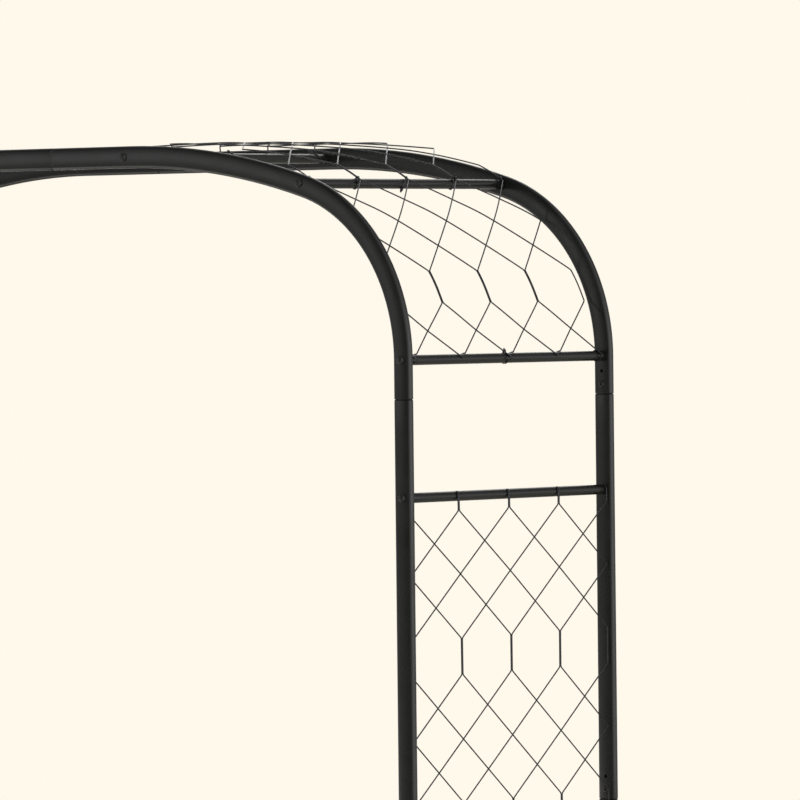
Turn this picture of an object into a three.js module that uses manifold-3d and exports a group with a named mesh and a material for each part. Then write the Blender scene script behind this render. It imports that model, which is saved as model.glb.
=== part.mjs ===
// Wide garden arch: two bent frames of flat-sided oval steel tube, joined by round cross bars,
// with knotted wire mesh hooked over the bars on both sides and round both corners.
// X runs across the walk-through, Y from the front frame to the back frame, Z is up. Millimetres.

import * as THREE from 'three';
import { mergeVertices } from 'three/addons/utils/BufferGeometryUtils.js';
import Module from 'manifold-3d';

const wasm = await Module();
wasm.setup();

// ---------- driving dimensions ----------

const SPAN = 1638; // between the leg centrelines, across the walk-through
const DEPTH = 450; // between the front and the back frame, centre to centre

// Frame tube
const TUBE_WIDE = 33.5; // in the plane of the frame
const TUBE_DEEP = 12.5; // along Y, at the crown of the flat sides
const TUBE_END_RADIUS = 5.4; // of the narrow sides
const TUBE_WALL = 1.2;
const TUBE_END_SIDES = 4; // facets of each narrow side

// Leg sections and their push-fit joints
const LEG_SECTION = 610;
const LEG_SECTIONS = ['lower', 'middle', 'upper'];
const SPIGOT_LENGTH = 50;
const SPIGOT_SLACK = 0.35;
const SHOULDER = 3;
const GAP = 0.3; // clearance wherever two pieces meet

// Shape of the arch, upwards from the top seam of the legs
const ARCH_TAIL = 57; // straight tail below the spring line
const CORNER_RADIUS = 267;
const SHOULDER_SLOPE = THREE.MathUtils.degToRad(16); // slope where the corner turns into the flat bend
const BEND_RADIUS = 1290;
const RIDGE_HALF = 270; // half of the straight ridge
const RIDGE_SEAM = 105; // from the middle of the span to the seam between the two arch pieces
const CORNER_STEPS = 9;
const BEND_STEPS = 3;

// Cross bars
const BAR_RADIUS = 7.5;
const BAR_WALL = 1.2;
const BAR_INSERT = 20; // length of the threaded insert in each end
const BAR_SIDES = 10;
const RIDGE_BAR_X = 259; // from the middle of the span
const SHOULDER_BAR_INSET = 199; // from the leg centreline
const SHOULDER_BAR_LIFT = 2.7; // above the centreline of the tube
const HIGH_BAR_DROP = 201; // below the spring line

// Bar bolts
const BOLT_RADIUS = 3;
const BOLT_BORE = 3.6;
const BOLT_REACH = 14; // into the bar
const BOLT_HEAD_RADIUS = 6.5;
const BOLT_HEAD_HEIGHT = 3.8;
const BOLT_BEVEL = 0.7; // share of the head's radius and height at which its dome is bevelled
const BOLT_SIDES = 8;

// Wire mesh
const WIRE_RADIUS = 1.05;
const WIRE_SIDES = 3;
const COLUMNS = 4;
const COLUMN_PITCH = 106.9;
const PAIR_HALF = 1.05; // half the spacing of the two wires of an upright pair
const LAYER = 0.6; // where wires cross, each lies this much to its own side of the sheet
const PAIR_LENGTH = 54;
const SIDE_ROW = 47.2; // one crossing row to the next on the side panels
const CORNER_ROW = 48.2; // the same on the corner panels, drawn out a little by the bend
const SPRING_ROW = 45.2; // the same for the first two rows above the spring bar
const SIDE_ZONES = 6; // diamond zones on a side panel
const SIDE_LEAD = 18.5; // from a bar's centre to the end of the pairs hooked over it
const HOOK_RADIUS = BAR_RADIUS + WIRE_RADIUS + GAP;
const HIGH_HOOK_TURN = THREE.MathUtils.degToRad(54);
const LOW_HOOK_TURN = THREE.MathUtils.degToRad(140);
const BAR_WRAP = 8.9; // distance up the panel at which the inner family clears the spring bar
const BAR_WRAP_TOP = THREE.MathUtils.degToRad(82); // angle round the bar where that happens
const OUTER_TIP = 1.8; // distance up the panel at which the outer family's wires end on the bar
const INNER_TIP = -4; // the same for the inner family, behind the bar
const OUTER_SWING = 1.9; // half columns that the outer family has swung by at the spring bar
const INNER_SWING = 2.22; // the same for the inner family
const SHEET_HALF = 216.9; // half the width of a sheet at most
const STRETCH = 0.02; // the side panels are stretched towards the front frame
const HIGH_STRETCH = 0.03; // and more so at the high bar
const HIGH_SAG = 1.5; // near the high bar they hang lower
const HIGH_SAG_TILT = 0.015; // and more so towards the front frame
const HIGH_FADE = 200; // distance down the panel over which both fade
const RIDGE_SAG = 6; // of the front edge of a corner panel, at the ridge bar
const RIDGE_SAG_START = 250; // distance up the panel where it starts
const TURN_DOWN = 20; // length of the wire ends turned down past the ridge bar
const TURN_DOWN_SLOPE = { inset: 0.1, rise: -0.9 };
const TURN_DOWN_CURL = 1 / 60; // curving back under the bar
const SHEET_STEP = 36; // longest straight piece of wire on a bent sheet
const HOOK_STEP = 6; // the same on a hook

// Feet and cable ties
const FOOT_SOLE = 3;
const FOOT_PLUG = 18;
const TIE_INNER = 11.9;
const TIE_THICK = 1.1;
const TIE_WIDE = 3.2;
const TIE_HEAD = new THREE.Vector3(5.4, 5.6, 4.2);
const TIE_TAIL = 5;
const TIE_SINK = 0.2; // how far the head is sunk into the strap
const TIE_END_SIDES = 6;

// ---------- derived places ----------

const LEG_X = SPAN / 2;
const FRAME_Y = DEPTH / 2;
const SPRING_Z = LEG_SECTION * LEG_SECTIONS.length + ARCH_TAIL;
const CORNER_TURN = Math.PI / 2 - SHOULDER_SLOPE;
const BAR_LENGTH = DEPTH - TUBE_DEEP - 2 * GAP;
const SIDES = { right: 1, left: -1 };
const FRAMES = { front: -1, back: 1 };
const DEPTH_AXIS = new THREE.Vector3(0, 1, 0);

// Points of the tube's centreline are given as inset from the leg centreline and rise above the
// spring line, so that both halves of both frames share them.
const bendStart = cornerPoint(CORNER_TURN);
const bendCentre = {
  inset: LEG_X - RIDGE_HALF,
  rise: bendStart.rise - BEND_RADIUS * Math.cos(SHOULDER_SLOPE),
};
const RIDGE_RISE = bendCentre.rise + BEND_RADIUS;

function cornerPoint(turn) {
  return {
    inset: CORNER_RADIUS * (1 - Math.cos(turn)),
    rise: CORNER_RADIUS * Math.sin(turn),
  };
}

function bendPoint(slope) {
  return {
    inset: bendCentre.inset - BEND_RADIUS * Math.sin(slope),
    rise: bendCentre.rise + BEND_RADIUS * Math.cos(slope),
  };
}

function riseOnBend(inset) {
  return bendCentre.rise + Math.sqrt(BEND_RADIUS ** 2 - (bendCentre.inset - inset) ** 2);
}

// Cross bars of one side, from the ridge down to the foot
const SIDE_FALL = 2 * SIDE_LEAD + SIDE_ZONES * 4 * SIDE_ROW + (SIDE_ZONES - 1) * PAIR_LENGTH;
const BARS = {
  ridge_bar: { inset: LEG_X - RIDGE_BAR_X, rise: RIDGE_RISE },
  shoulder_bar: { inset: SHOULDER_BAR_INSET, rise: riseOnBend(SHOULDER_BAR_INSET) + SHOULDER_BAR_LIFT },
  spring_bar: { inset: 0, rise: 0 },
  high_bar: { inset: 0, rise: -HIGH_BAR_DROP },
  low_bar: { inset: 0, rise: -HIGH_BAR_DROP - SIDE_FALL },
};

// ---------- materials ----------

const finishes = {
  powder_coat: { color: 0x1c1d1d, roughness: 0.5, metalness: 0.1 },
  wire_coat: { color: 0x1e1f1f, roughness: 0.42, metalness: 0.2 },
  bolt_black: { color: 0x161717, roughness: 0.45, metalness: 0.3 },
  foot_plastic: { color: 0x151515, roughness: 0.65, metalness: 0 },
  tie_nylon: { color: 0x101010, roughness: 0.5, metalness: 0 },
};

const arch = new THREE.Group();

function addMesh(name, geometry, finish) {
  const mesh = new THREE.Mesh(geometry, new THREE.MeshStandardMaterial(finishes[finish]));
  mesh.name = name;
  arch.add(mesh);
  return mesh;
}

// ---------- solids ----------

function toSolid(geometry) {
  const bare = geometry.index ? geometry.toNonIndexed() : geometry.clone();
  bare.deleteAttribute('normal');
  bare.deleteAttribute('uv');
  const merged = mergeVertices(bare, 1e-4);
  return new wasm.Manifold(new wasm.Mesh({
    numProp: 3,
    vertProperties: new Float32Array(merged.attributes.position.array),
    triVerts: new Uint32Array(merged.index.array),
  }));
}

function toGeometry(solid) {
  const mesh = solid.getMesh();
  const geometry = new THREE.BufferGeometry();
  geometry.setAttribute('position', new THREE.BufferAttribute(new Float32Array(mesh.vertProperties), 3));
  geometry.setIndex(new THREE.BufferAttribute(new Uint32Array(mesh.triVerts), 1));
  geometry.computeVertexNormals();
  return geometry;
}

function joinAll(geometries) {
  return geometries.map(toSolid).reduce((whole, piece) => whole.add(piece));
}

// A path through given points, which an extrusion steps through one by one, with the X of its
// section kept as near to the depth of the arch as the path allows.
class PointPath extends THREE.Curve {
  constructor(points) {
    super();
    this.points = points;
  }

  getPoint(t, target = new THREE.Vector3()) {
    const place = t * (this.points.length - 1);
    const i = Math.min(Math.floor(place), this.points.length - 2);
    return target.lerpVectors(this.points[i], this.points[i + 1], place - i);
  }

  getUtoTmapping(u) {
    return u;
  }

  computeFrenetFrames(segments) {
    const frames = { tangents: [], normals: [], binormals: [] };
    for (let i = 0; i <= segments; i += 1) {
      const tangent = this.getTangentAt(i / segments);
      const binormal = new THREE.Vector3().crossVectors(tangent, DEPTH_AXIS).normalize();
      frames.tangents.push(tangent);
      frames.binormals.push(binormal);
      frames.normals.push(new THREE.Vector3().crossVectors(binormal, tangent));
    }
    return frames;
  }
}

function sweep(shape, points) {
  const extrudePath = new PointPath(points);
  return new THREE.ExtrudeGeometry(shape, { steps: points.length - 1, extrudePath });
}

// ---------- frame tube ----------

// The section is an oval of four arcs: two narrow ends, and two flat sides with a slight crown.
const END_CENTRE = TUBE_WIDE / 2 - TUBE_END_RADIUS;
const CROWN_RADIUS = (END_CENTRE ** 2 + (TUBE_DEEP / 2) ** 2 - TUBE_END_RADIUS ** 2)
  / (TUBE_DEEP - 2 * TUBE_END_RADIUS);
const END_TURN = Math.acos(END_CENTRE / (CROWN_RADIUS - TUBE_END_RADIUS));

// Outline of the section moved outwards by `outset`, long way along `x` or along `y`.
function ovalPoints(outset, along) {
  const radius = TUBE_END_RADIUS + outset;
  const points = [];
  for (const end of [1, -1]) {
    for (let i = 0; i <= TUBE_END_SIDES; i += 1) {
      const angle = END_TURN * ((2 * i) / TUBE_END_SIDES - 1);
      points.push([end * (END_CENTRE + radius * Math.cos(angle)), end * radius * Math.sin(angle)]);
    }
    points.push([0, end * (TUBE_DEEP / 2 + outset)]);
  }
  return points.map(([long, short]) => (
    along === 'x' ? new THREE.Vector2(long, short) : new THREE.Vector2(-short, long)
  ));
}

function ovalTube(outset, wall, along) {
  const shape = new THREE.Shape(ovalPoints(outset, along));
  shape.holes.push(new THREE.Path(ovalPoints(outset - wall, along)));
  return shape;
}

const SPIGOT_INSET = -TUBE_WALL - SPIGOT_SLACK;
const SECTIONS = {
  body: (along) => ovalTube(0, TUBE_WALL, along),
  shoulder: (along) => ovalTube(0, 2 * TUBE_WALL + SPIGOT_SLACK, along),
  spigot: (along) => ovalTube(SPIGOT_INSET, TUBE_WALL, along),
};

function upright(section, from, to) {
  const geometry = new THREE.ExtrudeGeometry(SECTIONS[section]('x'), {
    depth: to - from,
    bevelEnabled: false,
  });
  return geometry.translate(0, 0, from);
}

function crossRod(radius, x, y, z, length, sides) {
  return new THREE.CylinderGeometry(radius, radius, length, sides).translate(x, y, z);
}

// Drills a tube along Y wherever a bar bolt goes through it.
function drill(solid, places) {
  return places.reduce(
    (whole, [x, z, y]) => whole.subtract(toSolid(crossRod(BOLT_BORE, x, y, z, 2 * TUBE_DEEP, BOLT_SIDES))),
    solid,
  );
}

// One straight leg section, with the reduced spigot on top that enters the tube above it.
function buildLeg(side, frame, index) {
  const from = index * LEG_SECTION + (index === 0 ? FOOT_SOLE + GAP : GAP / 2);
  const to = (index + 1) * LEG_SECTION - GAP / 2;
  const solid = joinAll([
    upright('body', from, to),
    upright('shoulder', to - SHOULDER, to),
    upright('spigot', to - SHOULDER, to + SPIGOT_LENGTH),
  ]);
  const holes = Object.values(BARS)
    .filter((bar) => bar.inset === 0 && SPRING_Z + bar.rise > from && SPRING_Z + bar.rise < to)
    .map((bar) => [0, SPRING_Z + bar.rise, 0]);
  const name = `${side}_${frame}_leg_${LEG_SECTIONS[index]}`;
  const leg = addMesh(name, toGeometry(drill(solid, holes)), 'powder_coat');
  leg.position.set(SIDES[side] * LEG_X, FRAMES[frame] * FRAME_Y, 0);
}

// Centreline of the arch over one leg, from the seam on the leg up and across to `reach`, which
// is how far past the middle of the span it goes (negative if it stops short).
function archPoints(side, y, reach) {
  const points = [{ inset: 0, rise: GAP / 2 - ARCH_TAIL }];
  for (let i = 0; i <= CORNER_STEPS; i += 1) {
    points.push(cornerPoint((CORNER_TURN * i) / CORNER_STEPS));
  }
  for (let i = 1; i <= BEND_STEPS; i += 1) {
    points.push(bendPoint(SHOULDER_SLOPE * (1 - i / BEND_STEPS)));
  }
  points.push({ inset: LEG_X + reach, rise: RIDGE_RISE });
  return points.map(({ inset, rise }) => place(side, inset, y, rise));
}

function place(side, inset, y, rise) {
  return new THREE.Vector3(SIDES[side] * (LEG_X - inset), y, SPRING_Z + rise);
}

function buildArchPiece(side, frame, isLong) {
  const y = FRAMES[frame] * FRAME_Y;
  const reach = (isLong ? RIDGE_SEAM : -RIDGE_SEAM) - GAP / 2;
  const parts = [sweep(SECTIONS.body('y'), archPoints(side, y, reach))];
  if (isLong) {
    const endOf = (extra) => place(side, LEG_X + reach + extra, y, RIDGE_RISE);
    parts.push(sweep(SECTIONS.shoulder('y'), [endOf(-SHOULDER), endOf(0)]));
    parts.push(sweep(SECTIONS.spigot('y'), [endOf(-SHOULDER), endOf(SPIGOT_LENGTH)]));
  }
  const holes = ['ridge_bar', 'shoulder_bar', 'spring_bar'].map((bar) => {
    const { inset, rise } = BARS[bar];
    return [SIDES[side] * (LEG_X - inset), SPRING_Z + rise, y];
  });
  const name = `${side}_${frame}_arch_${isLong ? 'long' : 'short'}`;
  addMesh(name, toGeometry(drill(joinAll(parts), holes)), 'powder_coat');
}

// ---------- cross bars and their bolts ----------

function lathe(profile, sides) {
  const points = profile.map(([radius, along]) => new THREE.Vector2(radius, along));
  return new THREE.LatheGeometry(points, sides);
}

function buildBar(side, name) {
  const half = BAR_LENGTH / 2;
  const inner = BAR_RADIUS - BAR_WALL;
  const hollow = half - BAR_INSERT;
  const geometry = lathe([
    [BOLT_BORE, -half],
    [BAR_RADIUS, -half],
    [BAR_RADIUS, half],
    [BOLT_BORE, half],
    [BOLT_BORE, hollow],
    [inner, hollow],
    [inner, -hollow],
    [BOLT_BORE, -hollow],
    [BOLT_BORE, -half],
  ], BAR_SIDES);
  const bar = addMesh(`${side}_${name}`, geometry, 'powder_coat');
  bar.position.copy(place(side, BARS[name].inset, 0, BARS[name].rise));
}

function buildBolt(side, frame, name) {
  const tip = TUBE_DEEP + 2 * GAP + BOLT_REACH;
  const geometry = lathe([
    [0, -BOLT_HEAD_HEIGHT],
    [BOLT_HEAD_RADIUS * BOLT_BEVEL, -BOLT_HEAD_HEIGHT * BOLT_BEVEL],
    [BOLT_HEAD_RADIUS, 0],
    [BOLT_RADIUS, 0],
    [BOLT_RADIUS, tip],
    [0, tip],
  ], BOLT_SIDES);
  const bolt = addMesh(`${side}_${frame}_${name}_bolt`, geometry, 'bolt_black');
  const outerFace = FRAME_Y + TUBE_DEEP / 2 + GAP;
  bolt.position.copy(place(side, BARS[name].inset, FRAMES[frame] * outerFace, BARS[name].rise));
  bolt.rotation.z = frame === 'front' ? 0 : Math.PI;
}

// ---------- wire mesh ----------

// A sheet is described by the line it follows in the X-Z plane: `at` gives inset and rise at the
// distance s along it, and the outward direction there. `pull` says where it is pulled to in Y; it
// is held back to SHEET_HALF.

function hookPoint(bar, angle) {
  return {
    inset: bar.inset + HOOK_RADIUS * Math.cos(angle),
    rise: bar.rise + HOOK_RADIUS * Math.sin(angle),
    outInset: Math.cos(angle),
    outRise: Math.sin(angle),
  };
}

// Side panel: hooked over the high bar, flat down the outside, hooked under the low bar. Near the
// high bar it is stretched a little wider, and sags towards the front.
const sideSheet = {
  at(s, y) {
    if (s < 0) return hookPoint(BARS.high_bar, Math.PI + s / HOOK_RADIUS);
    if (s > SIDE_FALL) return hookPoint(BARS.low_bar, Math.PI + (s - SIDE_FALL) / HOOK_RADIUS);
    const sag = Math.min(s / SIDE_LEAD, 1) * highPull(s) * (HIGH_SAG - HIGH_SAG_TILT * y);
    return { inset: -HOOK_RADIUS, rise: BARS.high_bar.rise - s - sag, outInset: -1, outRise: 0 };
  },
  pull: (s, y) => y + (STRETCH + HIGH_STRETCH * highPull(s)) * (y - COLUMN_PITCH),
};

function highPull(s) {
  return Math.exp(-Math.max(s, 0) / HIGH_FADE);
}

// Corner panel: the spring bar is threaded between its two families of wires. The sheet cuts
// inside the corner of the tubes, runs over the shoulder bar, then level above the ridge bar,
// where its ends turn down. Inset and rise.
const cornerLine = new THREE.SplineCurve([
  [-HOOK_RADIUS, 0],
  [9, 40],
  [27.5, 82.5],
  [54, 130],
  [113, 204],
  [148.6, 236.8],
  [193.6, 269.8],
  [234.6, 290.2],
  [281, 307],
  [329, 317.5],
  [426, 328],
  [500, 329.5],
  [578, 326.5],
].map(([inset, rise]) => new THREE.Vector2(inset, rise)));
cornerLine.arcLengthDivisions = 400;
const CORNER_RUN = cornerLine.getLength();

const cornerSheet = {
  at(s, y, layer) {
    if (layer < 0 && s < SPRING_ROW) return overSpringBar(s);
    const u = Math.min(s / CORNER_RUN, 1);
    const point = cornerLine.getPointAt(u);
    const tangent = cornerLine.getTangentAt(u);
    const past = Math.max(s - CORNER_RUN, 0);
    return {
      inset: point.x + past * TURN_DOWN_SLOPE.inset - past ** 2 * TURN_DOWN_CURL,
      rise: point.y + past * TURN_DOWN_SLOPE.rise - ridgeSag(s, y),
      outInset: -tangent.y,
      outRise: tangent.x,
    };
  },
  pull: (s, y) => y,
};

// A wire of the inner family, from the row above the spring bar over the top of the bar and down
// behind it.
function overSpringBar(s) {
  const turn = Math.min(s - BAR_WRAP, 0) / HOOK_RADIUS;
  const onBar = hookPoint(BARS.spring_bar, BAR_WRAP_TOP + turn);
  if (s < BAR_WRAP) return { ...onBar, outInset: 0, outRise: 0 };
  const row = cornerLine.getPointAt(SPRING_ROW / CORNER_RUN);
  const share = (s - BAR_WRAP) / (SPRING_ROW - BAR_WRAP);
  return {
    inset: THREE.MathUtils.lerp(onBar.inset, row.x, share),
    rise: THREE.MathUtils.lerp(onBar.rise, row.y, share),
    outInset: -1,
    outRise: 0,
  };
}

// The level part of a corner panel sags towards the front frame.
function ridgeSag(s, y) {
  const along = THREE.MathUtils.clamp((s - RIDGE_SAG_START) / (CORNER_RUN - RIDGE_SAG_START), 0, 1);
  const forward = Math.max(COLUMN_PITCH - y, 0) / (3 * COLUMN_PITCH);
  return RIDGE_SAG * along * forward ** 2;
}

// Stations along a sheet, as [distance, swing]. The swing counts half columns that a wire has
// moved sideways: it stands still along an upright pair and grows by one at each crossing row.
function sideStations() {
  const stations = [[-HIGH_HOOK_TURN * HOOK_RADIUS, 0], [0, 0], [SIDE_LEAD, 0]];
  for (let zone = 1; zone <= SIDE_ZONES; zone += 1) {
    const zoneStart = stations.at(-1)[0];
    stations.push([zoneStart + 2 * SIDE_ROW, 4 * zone - 2], [zoneStart + 4 * SIDE_ROW, 4 * zone]);
    const pairEnd = zoneStart + 4 * SIDE_ROW + (zone < SIDE_ZONES ? PAIR_LENGTH : SIDE_LEAD);
    stations.push([pairEnd, 4 * zone]);
  }
  stations.push([SIDE_FALL + LOW_HOOK_TURN * HOOK_RADIUS, 4 * SIDE_ZONES]);
  return stations;
}

function cornerStations(tip, swingAtBar) {
  const stations = [[tip, THREE.MathUtils.lerp(swingAtBar, 3, tip / SPRING_ROW)], [SPRING_ROW, 3]];
  for (let swing = 4; stations.at(-1)[0] + CORNER_ROW < CORNER_RUN; swing += 1) {
    const next = stations.at(-1)[0] + (swing === 4 ? SPRING_ROW : CORNER_ROW);
    stations.push([next, swing]);
    if (swing % 4 === 0) stations.push([next + PAIR_LENGTH, swing]);
  }
  const last = stations.at(-1)[1];
  stations.push([CORNER_RUN, last], [CORNER_RUN + TURN_DOWN, last]);
  return stations;
}

// The stations are given for each family of wires.
const sheets = {
  side_mesh: {
    ...sideSheet,
    stations: { 1: sideStations(), '-1': sideStations() },
    step: Infinity,
    length: SIDE_FALL,
    outer: LAYER,
  },
  corner_mesh: {
    ...cornerSheet,
    stations: { 1: cornerStations(INNER_TIP, INNER_SWING), '-1': cornerStations(OUTER_TIP, OUTER_SWING) },
    step: SHEET_STEP,
    length: CORNER_RUN,
    outer: -LAYER,
  },
};

// The eight wires of a sheet. Each swings between two places, in half columns: six across two
// columns, in two families that cross each other, and one along each edge.
const WIRES = [
  { low: 0, range: 4, phase: 0, family: 1 },
  { low: 2, range: 4, phase: 0, family: 1 },
  { low: 4, range: 4, phase: 0, family: 1 },
  { low: 0, range: 4, phase: 4, family: -1 },
  { low: 2, range: 4, phase: 4, family: -1 },
  { low: 4, range: 4, phase: 4, family: -1 },
  { low: 0, range: 2, phase: 2, family: 1 },
  { low: 6, range: 2, phase: 0, family: -1 },
];

function swingPlace(wire, swing) {
  const through = (swing + wire.phase) % (2 * wire.range);
  return wire.range - Math.abs(wire.range - through);
}

// Wires keep to their own side where they run upright, and centre on the column where they cross.
function sideShift(wire, swing) {
  if (swing % 4 !== 0) return 0;
  return swingPlace(wire, swing) === 0 ? PAIR_HALF : -PAIR_HALF;
}

function wirePoint(side, sheet, wire, s, y, crossing) {
  const layer = sheet.outer * wire.family;
  const on = sheet.at(s, y, layer);
  const away = layer * crossing;
  const held = THREE.MathUtils.clamp(sheet.pull(s, y), -SHEET_HALF, SHEET_HALF);
  return place(side, on.inset + on.outInset * away, held, on.rise + on.outRise * away);
}

// The steps of a stretch of wire, as shares of it: even ones, and one where the wire reaches the
// edge of its sheet.
function stepShares(count, pulledFrom, pulledTo) {
  const shares = Array.from({ length: count + 1 }, (_, k) => k / count);
  const edge = Math.sign(pulledFrom + pulledTo) * SHEET_HALF;
  const share = (edge - pulledFrom) / (pulledTo - pulledFrom);
  return count === 1 && share > 0 && share < 1 ? [0, share, 1] : shares;
}

function wirePoints(side, sheet, wire) {
  const yAt = (swing) => {
    const halfColumns = wire.low + swingPlace(wire, swing) - COLUMNS;
    return (halfColumns * COLUMN_PITCH) / 2 + sideShift(wire, swing);
  };
  const crossingAt = (swing) => (swing % 4 === 0 ? 0 : 1);
  const stations = sheet.stations[wire.family];
  const points = [];
  for (let i = 1; i < stations.length; i += 1) {
    const [from, fromSwing] = stations[i - 1];
    const [to, toSwing] = stations[i];
    const isHook = from < 0 || to > sheet.length;
    const count = Math.max(1, Math.ceil((to - from) / (isHook ? HOOK_STEP : sheet.step)));
    const pulledFrom = sheet.pull(from, yAt(fromSwing));
    const pulledTo = sheet.pull(to, yAt(toSwing));
    const shares = stepShares(count, pulledFrom, pulledTo).slice(i === 1 ? 0 : 1);
    points.push(...shares.map((share) => {
      const s = THREE.MathUtils.lerp(from, to, share);
      const y = THREE.MathUtils.lerp(yAt(fromSwing), yAt(toSwing), share);
      const crossing = THREE.MathUtils.lerp(crossingAt(fromSwing), crossingAt(toSwing), share);
      return wirePoint(side, sheet, wire, s, y, crossing);
    }));
  }
  return points;
}

function roundShape(radius, sides) {
  const points = [];
  for (let i = 0; i < sides; i += 1) {
    const angle = (2 * Math.PI * i) / sides;
    points.push(new THREE.Vector2(radius * Math.cos(angle), radius * Math.sin(angle)));
  }
  return new THREE.Shape(points);
}

function buildMesh(side, name) {
  const section = roundShape(WIRE_RADIUS, WIRE_SIDES);
  const wires = WIRES.map((wire) => sweep(section, wirePoints(side, sheets[name], wire)));
  addMesh(`${side}_${name}`, toGeometry(joinAll(wires)), 'wire_coat');
}

// ---------- feet ----------

function buildFoot(side, frame) {
  const solidOval = (outset, height) => {
    const outline = new THREE.Shape(ovalPoints(outset, 'x'));
    return new THREE.ExtrudeGeometry(outline, { depth: height, bevelEnabled: false });
  };
  const geometry = toGeometry(joinAll([solidOval(0, FOOT_SOLE), solidOval(SPIGOT_INSET, FOOT_PLUG)]));
  const foot = addMesh(`${side}_${frame}_foot_cap`, geometry, 'foot_plastic');
  foot.position.set(SIDES[side] * LEG_X, FRAMES[frame] * FRAME_Y, 0);
}

// ---------- cable ties ----------

// One middle tie on each of the three bars that the corner mesh is tied to. `out` is the angle of
// the mesh side of the bar, `lift` how far the mesh stands off it, and `twist` turns the tie
// across the bar, so that it passes slantwise over an upright pair of wires. `head` is the angle
// from the mesh side to the head, round the bar.
const TIES = {
  ridge_bar: { out: 0, lift: 8, twist: 0, y: 4.6, head: 62 },
  shoulder_bar: { out: 121, lift: 0, twist: -50, y: 0, head: 110 },
  spring_bar: { out: 180, lift: 2, twist: 0, y: -2, head: -95 },
};

// Loop outline round the bar, reaching out to the mesh along +X, widened along Y for a slanting tie.
function loopPoint(angle, radius, lift, widen) {
  return new THREE.Vector2(lift + radius * Math.cos(angle), radius * widen * Math.sin(angle));
}

function loopPoints(radius, lift, widen) {
  const points = [];
  for (const end of [0, 1]) {
    for (let i = 0; i <= TIE_END_SIDES; i += 1) {
      const angle = Math.PI * (end + i / TIE_END_SIDES) - Math.PI / 2;
      points.push(loopPoint(angle, radius, end === 0 ? lift : 0, widen));
    }
  }
  return points;
}

function buildTie(side, name) {
  const { out, lift, twist, y, head: headAngle } = TIES[name];
  const turn = THREE.MathUtils.degToRad(twist);
  const widen = 1 / Math.cos(turn);
  const loop = new THREE.Shape(loopPoints(TIE_INNER + TIE_THICK, lift, widen));
  loop.holes.push(new THREE.Path(loopPoints(TIE_INNER, lift, widen)));
  const strap = new THREE.ExtrudeGeometry(loop, { depth: TIE_WIDE, bevelEnabled: false });
  strap.translate(0, 0, -TIE_WIDE / 2);
  const headTurn = THREE.MathUtils.degToRad(headAngle);
  const headPlace = loopPoint(headTurn, TIE_INNER + TIE_HEAD.x / 2 - TIE_SINK, 0, widen);
  const head = new THREE.BoxGeometry(TIE_HEAD.x, TIE_HEAD.y, TIE_HEAD.z);
  head.rotateZ(headTurn).translate(headPlace.x, headPlace.y, 0);
  const tail = new THREE.BoxGeometry(TIE_TAIL, TIE_THICK, TIE_WIDE).translate(TIE_TAIL / 2, 0, 0);
  tail.rotateZ(headTurn).translate(headPlace.x, headPlace.y, 0);
  const angle = THREE.MathUtils.degToRad(out);
  const outward = new THREE.Vector3(-SIDES[side] * Math.cos(angle), 0, Math.sin(angle));
  const across = new THREE.Vector3().crossVectors(DEPTH_AXIS, outward);
  const tie = addMesh(`${side}_${name}_tie`, toGeometry(joinAll([strap, head, tail])), 'tie_nylon');
  tie.rotation.setFromRotationMatrix(new THREE.Matrix4()
    .makeBasis(outward, across, DEPTH_AXIS)
    .multiply(new THREE.Matrix4().makeRotationX(turn)));
  tie.position.copy(place(side, BARS[name].inset, y, BARS[name].rise));
}

// ---------- assembly ----------

for (const side of Object.keys(SIDES)) {
  for (const frame of Object.keys(FRAMES)) {
    LEG_SECTIONS.forEach((_, index) => buildLeg(side, frame, index));
    buildArchPiece(side, frame, (side === 'left') === (frame === 'front'));
    buildFoot(side, frame);
    Object.keys(BARS).forEach((name) => buildBolt(side, frame, name));
  }
  Object.keys(BARS).forEach((name) => buildBar(side, name));
  Object.keys(sheets).forEach((name) => buildMesh(side, name));
  Object.keys(TIES).forEach((name) => buildTie(side, name));
}

export default arch;
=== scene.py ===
import math

import bmesh
import bpy
import numpy as np
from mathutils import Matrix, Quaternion, Vector


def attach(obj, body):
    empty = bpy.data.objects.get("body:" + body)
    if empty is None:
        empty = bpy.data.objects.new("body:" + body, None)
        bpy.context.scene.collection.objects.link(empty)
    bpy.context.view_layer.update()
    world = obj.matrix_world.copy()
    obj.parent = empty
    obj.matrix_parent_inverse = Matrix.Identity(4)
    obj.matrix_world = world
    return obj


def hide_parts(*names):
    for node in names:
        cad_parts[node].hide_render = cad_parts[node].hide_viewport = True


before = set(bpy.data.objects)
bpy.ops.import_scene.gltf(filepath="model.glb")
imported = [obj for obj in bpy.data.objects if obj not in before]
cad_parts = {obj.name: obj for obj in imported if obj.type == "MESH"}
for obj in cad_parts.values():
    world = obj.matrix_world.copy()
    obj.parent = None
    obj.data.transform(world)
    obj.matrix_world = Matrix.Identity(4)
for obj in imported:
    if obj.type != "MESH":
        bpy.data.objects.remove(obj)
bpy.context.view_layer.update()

# Looks of the wide garden arch. The model's own lengths are in millimetres, as in the CAD, and
# to_mesh() turns them into metres. X runs across the walk-through, Y from the front frame to
# the back frame, Z is up. Places on a frame are an inset from the leg's centreline towards the
# middle of the arch, and a rise above the spring line, where the corner starts.

MM = 0.001
SPAN_AXIS = np.array([1.0, 0.0, 0.0])
DEPTH_AXIS = np.array([0.0, 1.0, 0.0])
UP = np.array([0.0, 0.0, 1.0])

# ---------- the arch, as in the CAD ----------

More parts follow.
